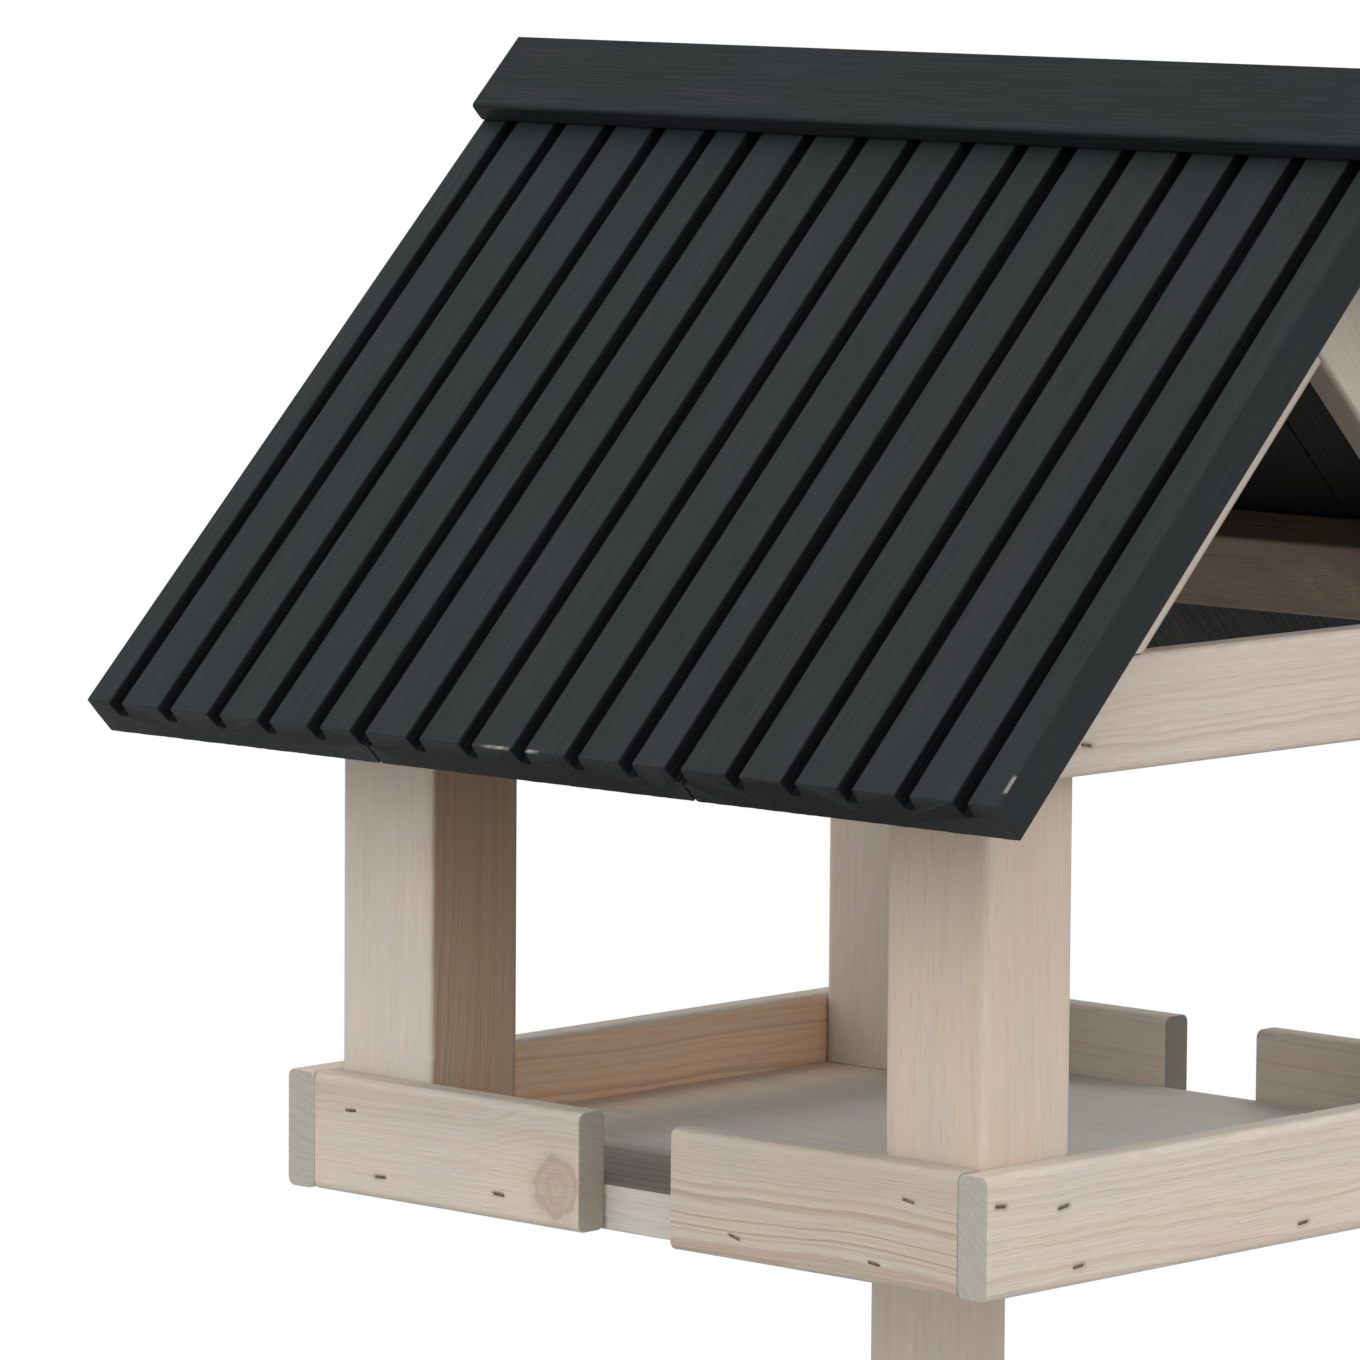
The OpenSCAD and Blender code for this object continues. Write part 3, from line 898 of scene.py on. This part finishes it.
# %% [markdown]
# ## Posts and gable frames
# Square posts with rounded edges stand inside the rails.  Their heads are cut to the
# slope, so the upper end of the sweep depends on where a point is in the section.
# Rafters, purlins and boards lie on the slopes, whose own directions are used for
# the section and for the path.

# %% Posts
def sloping_head(node):
    """A post's head over (u, v), which falls by as much as it goes out from the ridge."""
    low, high = box(node)
    peak = high[2] + min(abs(low[1]), abs(high[1]))
    return lambda u, v: peak - np.abs(v)


def inner_face_shade(place, out):
    """Painted shade on the face that looks to +X, into the house, darker toward the roof."""
    low, high = extent("post_front_left", Z)
    share = np.clip((place[:, 2] - low) / (high - low), 0, 1)
    return (0.35 + 0.60 * share ** 1.3) * (out[:, 0] > 0.8)


POST_EDGE = 3.5 * MM
POST_LOOKS = {
    "post_front_left": dict(pith=(58, 66), lot=21.0, figure=facing(X, 0.4, 0.08),
                            warm=facing(X, 0.80, 0.0), wash=facing(X, 0.5, 0.10),
                            shade=inner_face_shade),
    "post_front_right": dict(pith=(60, 74), lot=23.6, figure=0.09, warm=0.2, wash=0.18,
                             shade=0.08),
    "post_back_left": dict(pith=(-50, 60), lot=26.3, figure=0.12, warm=0.03, wash=0.10),
    "post_back_right": dict(pith=(-34, 54), lot=28.9, figure=0.30, warm=0.05, wash=0.15),
}
for node, look in POST_LOOKS.items():
    plank(node, "z", POST_EDGE, look=look, top=sloping_head(node))
print("posts:", len(POST_LOOKS))

# %% Boards that lie on a slope
ROOT2 = math.sqrt(2)


def slope(node):
    """A sloping board's directions: along the ridge, out of the slope, and down it."""
    side = 1 if "back" in node else -1
    return -side * X, (side * Y + Z) / ROOT2, (side * Y - Z) / ROOT2


def on_slope(node, thick, radius=0.0, sawn=False):
    """A sloping board from its CAD box: (lowest, highest) down the slope and out of it.

    A w by t rectangle turned by 45 degrees has a box of (w + t) / root 2, and rounding its
    corners takes r * (root 2 - 1) off each end of that.  A sawn board is rounded along its
    lower edge only.
    """
    out, down = slope(node)[1:]
    low, high = box(node)
    lost = radius * (ROOT2 - 1)
    width = ROOT2 * (high[2] - low[2] + (1 if sawn else 2) * lost) - thick
    middle = (low + high) / 2 + (down * lost / ROOT2 if sawn else 0)
    return (middle @ down - width / 2, middle @ down + width / 2,
            middle @ out - thick / 2, middle @ out + thick / 2)


def lying(node, thick, radius, finish, look, sawn=False):
    """A board that lies on a slope with its length along the ridge."""
    ridge, out, down = slope(node)
    side = -ridge[0]
    top, bottom, under, over = on_slope(node, thick, radius, sawn)
    axes = (side * down, out, X)
    ends = sorted((side * top, side * bottom))
    sharp = SAWN_EDGE if sawn else radius
    radii = [radius, sharp, sharp, radius] if side < 0 else [sharp, radius, radius, sharp]
    left, right = extent(node, X)
    surface = swept(section((ends[0], under), (ends[1], over), radii), axes, left, right,
                    between(int((right - left) / RING_GAP)), SAWN_EDGE)
    return timber(node, surface, axes, finish, look)


# %% Purlins
PURLIN, PURLIN_EDGE = 14.25 * MM, 1.5 * MM
knot_low = (np.array([65, 138, 950]) * MM, (Y + Z) / ROOT2, 8.0)


def purlin_shade(place, out):
    """Painted shade on a purlin under the roof, darkest on the edge that looks up the slope, and
    less on the knot, which so shows lighter.
    """
    knot = np.clip(1 - np.linalg.norm(place - knot_low[0], axis=1) / (16 * MM), 0, 1)
    return np.where(np.sign(place[:, 1]) * out[:, 1] - out[:, 2] < -1.2, 0.90, 0.82 - 0.3 * knot)


PURLIN_LOOKS = {
    "purlin_front_low": dict(lot=31.0, warm=0.2),
    "purlin_front_high": dict(lot=32.5, warm=0.2),
    "purlin_back_low": dict(pith=(20, -38), lot=34.0, figure=0.5, warm=0.40, wash=0.3,
                            knot=knot_low),
    "purlin_back_high": dict(pith=(-20, -50), lot=35.5, figure=0.4, warm=0.45, wash=0.3),
}
for node, look in PURLIN_LOOKS.items():
    lying(node, PURLIN, PURLIN_EDGE, pale, dict(shade=purlin_shade) | look)
print("purlins:", len(PURLIN_LOOKS))

# %% Rafters
SLANT_EDGE, SLANT_EASE = 2.5 * MM, 0.4 * MM


def rafter(node, look):
    """A rafter runs down a slope and stands on the tie, where its foot is cut level.

    Its upper end is square.  At the foot the path stops at the tie's top, or at the plumb
    cut above the tie's end, whichever comes first.
    """
    axes = ridge, out, down = slope(node)
    side = -ridge[0]
    low, high = box(node)
    edge = max(abs(low[1]), abs(high[1]))
    over = box("rafter_back_right")[1][2] / ROOT2
    upper = -over if side > 0 else over - ROOT2 * high[2]
    under = -upper - ROOT2 * extent(node, -side * Y)[1]

    def foot(u, v):
        return np.minimum(v - ROOT2 * low[2], ROOT2 * edge - v)

    left, right = extent(node, ridge)
    surface = swept(section((left, under), (right, over), SLANT_EDGE), axes, upper, foot,
                    between(14), SLANT_EASE)
    return timber(node, surface, axes, look=look)


def underside_shade(place, out):
    """Painted shade on the faces that look down."""
    return 0.66 * np.clip(-out[:, 2] / 0.6, 0, 1)


for number, node in enumerate(node for node in ORDER if node.startswith("rafter")):
    piece = rafter(node, dict(figure=0.14, warm=0.0, wash=0.0, lot=41.0 + 1.7 * number,
                              shade=underside_shade))
    print(piece.name, "down to", round(min(corner[2] for corner in piece.bound_box), 4))

# %% [markdown]
# ## The roof
# Three grooved boards cover each slope.  A whole board has five grooves and a rebate
# along both edges, and the outer boards are ripped narrower.  The grooves are part of
# the section, so they run out through the end at the eave as they do when a cutter
# makes them.  The stain is worn off the arris in a few places, where the end is also
# chipped.  Two thin boards cover the ridge, and the front one laps over the upper edge
# of the back one.

# %% Grooved roof boards
GROOVES, FIRST, PITCH = 5, 26 * MM, 24.75 * MM
GROOVE_WIDTH, GROOVE_DEPTH, REBATE = 6.5 * MM, 7 * MM, 3.25 * MM
CORNER, LIP, ROOT = 0.8 * MM, 0.7 * MM, 0.9 * MM
WHOLE = np.ptp(extent("roof_front_middle", X))
BOARD = ROOT2 * (np.ptp(extent("roof_back_middle", Y)) - np.ptp(extent("roof_front_middle", Y)))
print("roof boards:", round(WHOLE / MM, 2), "wide and", round(BOARD / MM, 2), "thick, in mm")


def grooved_corners(left, right, under, over):
    """The corners of a grooved board's section, counter-clockwise, and their radii.

    The grooves are counted from the left edge of the whole board, so a board that is narrower
    because its left was ripped off starts its count outside itself.  A whole edge has a
    rebate, so two boards side by side show one more groove at their joint.  Only the roof's
    outer edges are ripped, and they lie farther out than 1.2 whole widths.
    """
    cut_left, cut_right = left < -1.2 * WHOLE, right > 1.2 * WHOLE
    middle = (right - WHOLE if cut_left else left) + FIRST + PITCH * np.arange(GROOVES)[::-1]
    wall = np.array([GROOVE_WIDTH / 2, GROOVE_WIDTH / 3, -GROOVE_WIDTH / 3, -GROOVE_WIDTH / 2])
    bottom, shelf = over - GROOVE_DEPTH, REBATE - GROOVE_WIDTH / 6
    grooves = zip((middle[:, None] + wall).ravel(),
                  np.tile([over, bottom, bottom, over], GROOVES))

    def flank(edge, inward, cut):
        return [(edge, over)] if cut else [(edge, bottom), (edge + inward * shelf, bottom),
                                           (edge + inward * REBATE, over)]

    right_side, left_side = flank(right, -1, cut_right), flank(left, 1, cut_left)[::-1]
    corners = [(left, under), (right, under), *right_side, *grooves, *left_side]
    radii = ([CORNER] * 2 + [LIP] * len(right_side) + [LIP, ROOT, ROOT, LIP] * GROOVES
             + [LIP] * len(left_side))
    low_places = [*middle, *([] if cut_left else [left]), *([] if cut_right else [right])]
    return corners, radii, np.array(low_places)


# %% One roof board
SKIN, WORN_AT, WORN_HALF = 0.2 * MM, 9.5 * MM, 3.3 * MM
NEAR_EAVE = np.array([15, 13.5, 12.5, 9.5, 6.5, 5.5, 1.3]) * MM


def roof_board(node, look, chips):
    """A grooved board carried down its slope; chips are (place across, half width) in mm.

    The end at the eave is eased unevenly, more so at a chip, where the rings of the easing
    show bare wood.  One board also has a worn stretch on its outer arris.  Painted shade
    darkens each groove by its depth, and the whole underside.  SKIN is how far from a face
    a point may lie and still count as one of its points.
    """
    axes = ridge, out, down = slope(node)
    top, bottom, under, over = on_slope(node, BOARD)
    left, right = extent(node, ridge)
    corners, radii, middle = grooved_corners(left, right, under, over)
    outline = rounded_outline(corners, radii, steps=3, margin=0.9 * MM)
    points, normals = outline = denser(outline, 2.5 * MM)
    on_top = (points[:, 1] > over - 1.0 * MM) & (normals[:, 1] > 0.3)
    chip = np.zeros(len(points))
    for at, half in chips:
        near = 1 - np.abs(points[:, 0] - at * MM) / (half * MM)
        chip = np.maximum(chip, np.clip(3.0 * near, 0, 1) * on_top)
    ragged = np.random.default_rng([3, ORDER.index(node)]).uniform(0.25, 0.6, len(points))
    ease = np.minimum(ragged + 0.5 * chip, 0.62) * MM
    shares = np.unique(np.append(between(24), 1 - NEAR_EAVE / (bottom - top)))
    surface = swept(outline, axes, top, bottom, shares, ease, lip=0.06 * MM)
    marks = np.zeros(surface[0].shape[:2])
    marks[-EASE_STEPS - 2:-1] = chip * np.clip(ragged * 2.2 - 0.35, 0.25, 1)
    if node == "roof_front_right":
        from_eave = bottom - surface[0][:, 0] @ down
        arris = (np.abs(points[:, 0] - right) < 0.75 * MM) & (points[:, 1] > over - 0.5 * MM)
        stretch = np.abs(from_eave - WORN_AT) < WORN_HALF
        marks = np.maximum(marks, 0.6 * arris * stretch[:, None])
    # Painted shade: near black toward the bottom of each groove, and over the whole underside.
    deep = np.clip((over - points[:, 1]) / LIP, 0, 1)
    inside = np.abs(points[:, :1] - middle).min(1) < GROOVE_WIDTH / 2 + SKIN
    inside &= points[:, 1] > over - GROOVE_DEPTH - SKIN
    below = 0.97 * (points[:, 1] < under + SKIN)
    return timber(node, surface, axes, dark, look, marks=marks, shade_and_stain=deep * inside + below)


# %% Roof boards
ROOF_LOOKS = {
    "roof_front_left": dict(pith=(10, -60), lot=51.0, warm=0.15, wash=0.5),
    "roof_front_middle": dict(pith=(-20, -45), lot=53.0),
    "roof_front_right": dict(pith=(25, -50), lot=55.0, figure=0.6, warm=0.35, wash=0.8),
    "roof_back_left": dict(pith=(-15, -55), lot=57.0),
    "roof_back_middle": dict(pith=(20, -48), lot=59.0),
    "roof_back_right": dict(pith=(0, -60), lot=61.0, warm=0.2),
}
CHIPS = {"roof_front_middle": [(-11, 7), (6, 3)], "roof_back_middle": [(40, 4)],
         "roof_back_right": [(-150, 5)]}
for node, look in ROOF_LOOKS.items():
    roof_board(node, dict(figure=0.5, warm=0.3, wash=0.6) | look, CHIPS.get(node, ()))
print("roof boards:", len(ROOF_LOOKS))

# %% Ridge boards
CAP, CAP_EDGE = 8.5 * MM, 1.5 * MM
for node, pith, lot in (("ridge_board_front", (12, -60), 65.0),
                        ("ridge_board_back", (-12, -64), 67.0)):
    lying(node, CAP, CAP_EDGE, dark, sawn=True,
          look=dict(pith=pith, lot=lot, figure=0.4, warm=0.25, wash=0.5, shade=0.30))
print("ridge boards are", round(CAP / MM, 1), "mm thick")

# %% [markdown]
# ## The stand
# The pole stands on two foot boards that cross in a half lap, and four braces lean
# against it.  Each brace is carried along its own slanting direction, with one end cut
# plumb and the other level.

# %% Foot boards, pole and cleats
STAND_LOOK = dict(figure=0.5, warm=0.1, wash=0.5)
LAP_RINGS, LAP_STEP = 16, 0.02 * MM


def lapped(node, along, keep_low):
    """A foot board, whose height is halved where the other one crosses it.

    In the lap a height z above the ground becomes z / 2 if the lower half is kept, and
    (z + full height) / 2 if the upper half is.
    """
    *uv, s = TURNS[along]
    low, high = box(node)
    half = box("foot_board_x")[1][1]
    outline = section(low[uv], high[uv], THIN_EDGE, gap=12 * MM)
    at = np.concatenate([np.linspace(low[s], -half - LAP_STEP, LAP_RINGS)[1:], [-half, 0, half],
                         np.linspace(half + LAP_STEP, high[s], LAP_RINGS)[:-1]])
    axes = np.eye(3)[TURNS[along]]
    place, out, faces = swept(outline, axes, low[s], high[s], (at - low[s]) / (high[s] - low[s]),
                              SAWN_EDGE)
    height = place[..., 2]
    halved = low[2] + (height - low[2]) / 2 + (0 if keep_low else (high[2] - low[2]) / 2)
    in_lap = np.abs(place[..., s]) < half + LAP_STEP / 2
    place[..., 2] = np.where(in_lap, halved, height)
    return timber(node, (place, out, faces), axes, look=STAND_LOOK)


lapped("foot_board_x", "x", True)
lapped("foot_board_y", "y", False)
plank("pole", "z", 2 * MM, look=dict(pith=(-66, 70), figure=0.12, warm=0.0, wash=0.03, lot=71.0))
for side in ("left", "right"):
    plank("cleat_" + side, "y", THIN_EDGE)

# %% Braces
BRACE_WIDTH = 30 * MM


def brace(node, level):
    """A brace in the plane of a level direction and the vertical.

    With s down the brace and v out of it, a point's reach is (s + v) / root 2 and its height
    is (v - s) / root 2, so the plumb cut is s = root 2 * reach - v and the level cut is
    s = v - root 2 * height.
    """
    near, far = extent(node, level)
    low, high = box(node)
    down, out = (level - Z) / ROOT2, (level + Z) / ROOT2
    axes = (np.cross(out, down), out, down)
    over = (far + low[2]) / ROOT2
    left, right = extent(node, axes[0])
    surface = swept(section((left, over - BRACE_WIDTH), (right, over), SLANT_EDGE), axes,
                    lambda u, v: ROOT2 * near - v, lambda u, v: v - ROOT2 * low[2],
                    between(10), SLANT_EASE)
    return timber(node, surface, axes, look=STAND_LOOK)


for node, way in (("brace_right", X), ("brace_left", -X), ("brace_back", Y), ("brace_front", -Y)):
    print(brace(node, way).name)

# %% [markdown]
# ## Check and finish
# Every board should enclose a positive volume, which says that its faces look
# outwards.

# %% Checks
wood_used, triangles = 0.0, 0
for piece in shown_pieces():
    solid = bmesh.new()
    solid.from_mesh(piece.data)
    inside = solid.calc_volume(signed=True)
    if inside <= 0:
        print("inside out:", piece.name)
    wood_used += inside
    triangles += sum(len(face.verts) - 2 for face in solid.faces)
    solid.free()
print("volume of all pieces in litres:", round(wood_used * 1000, 3))
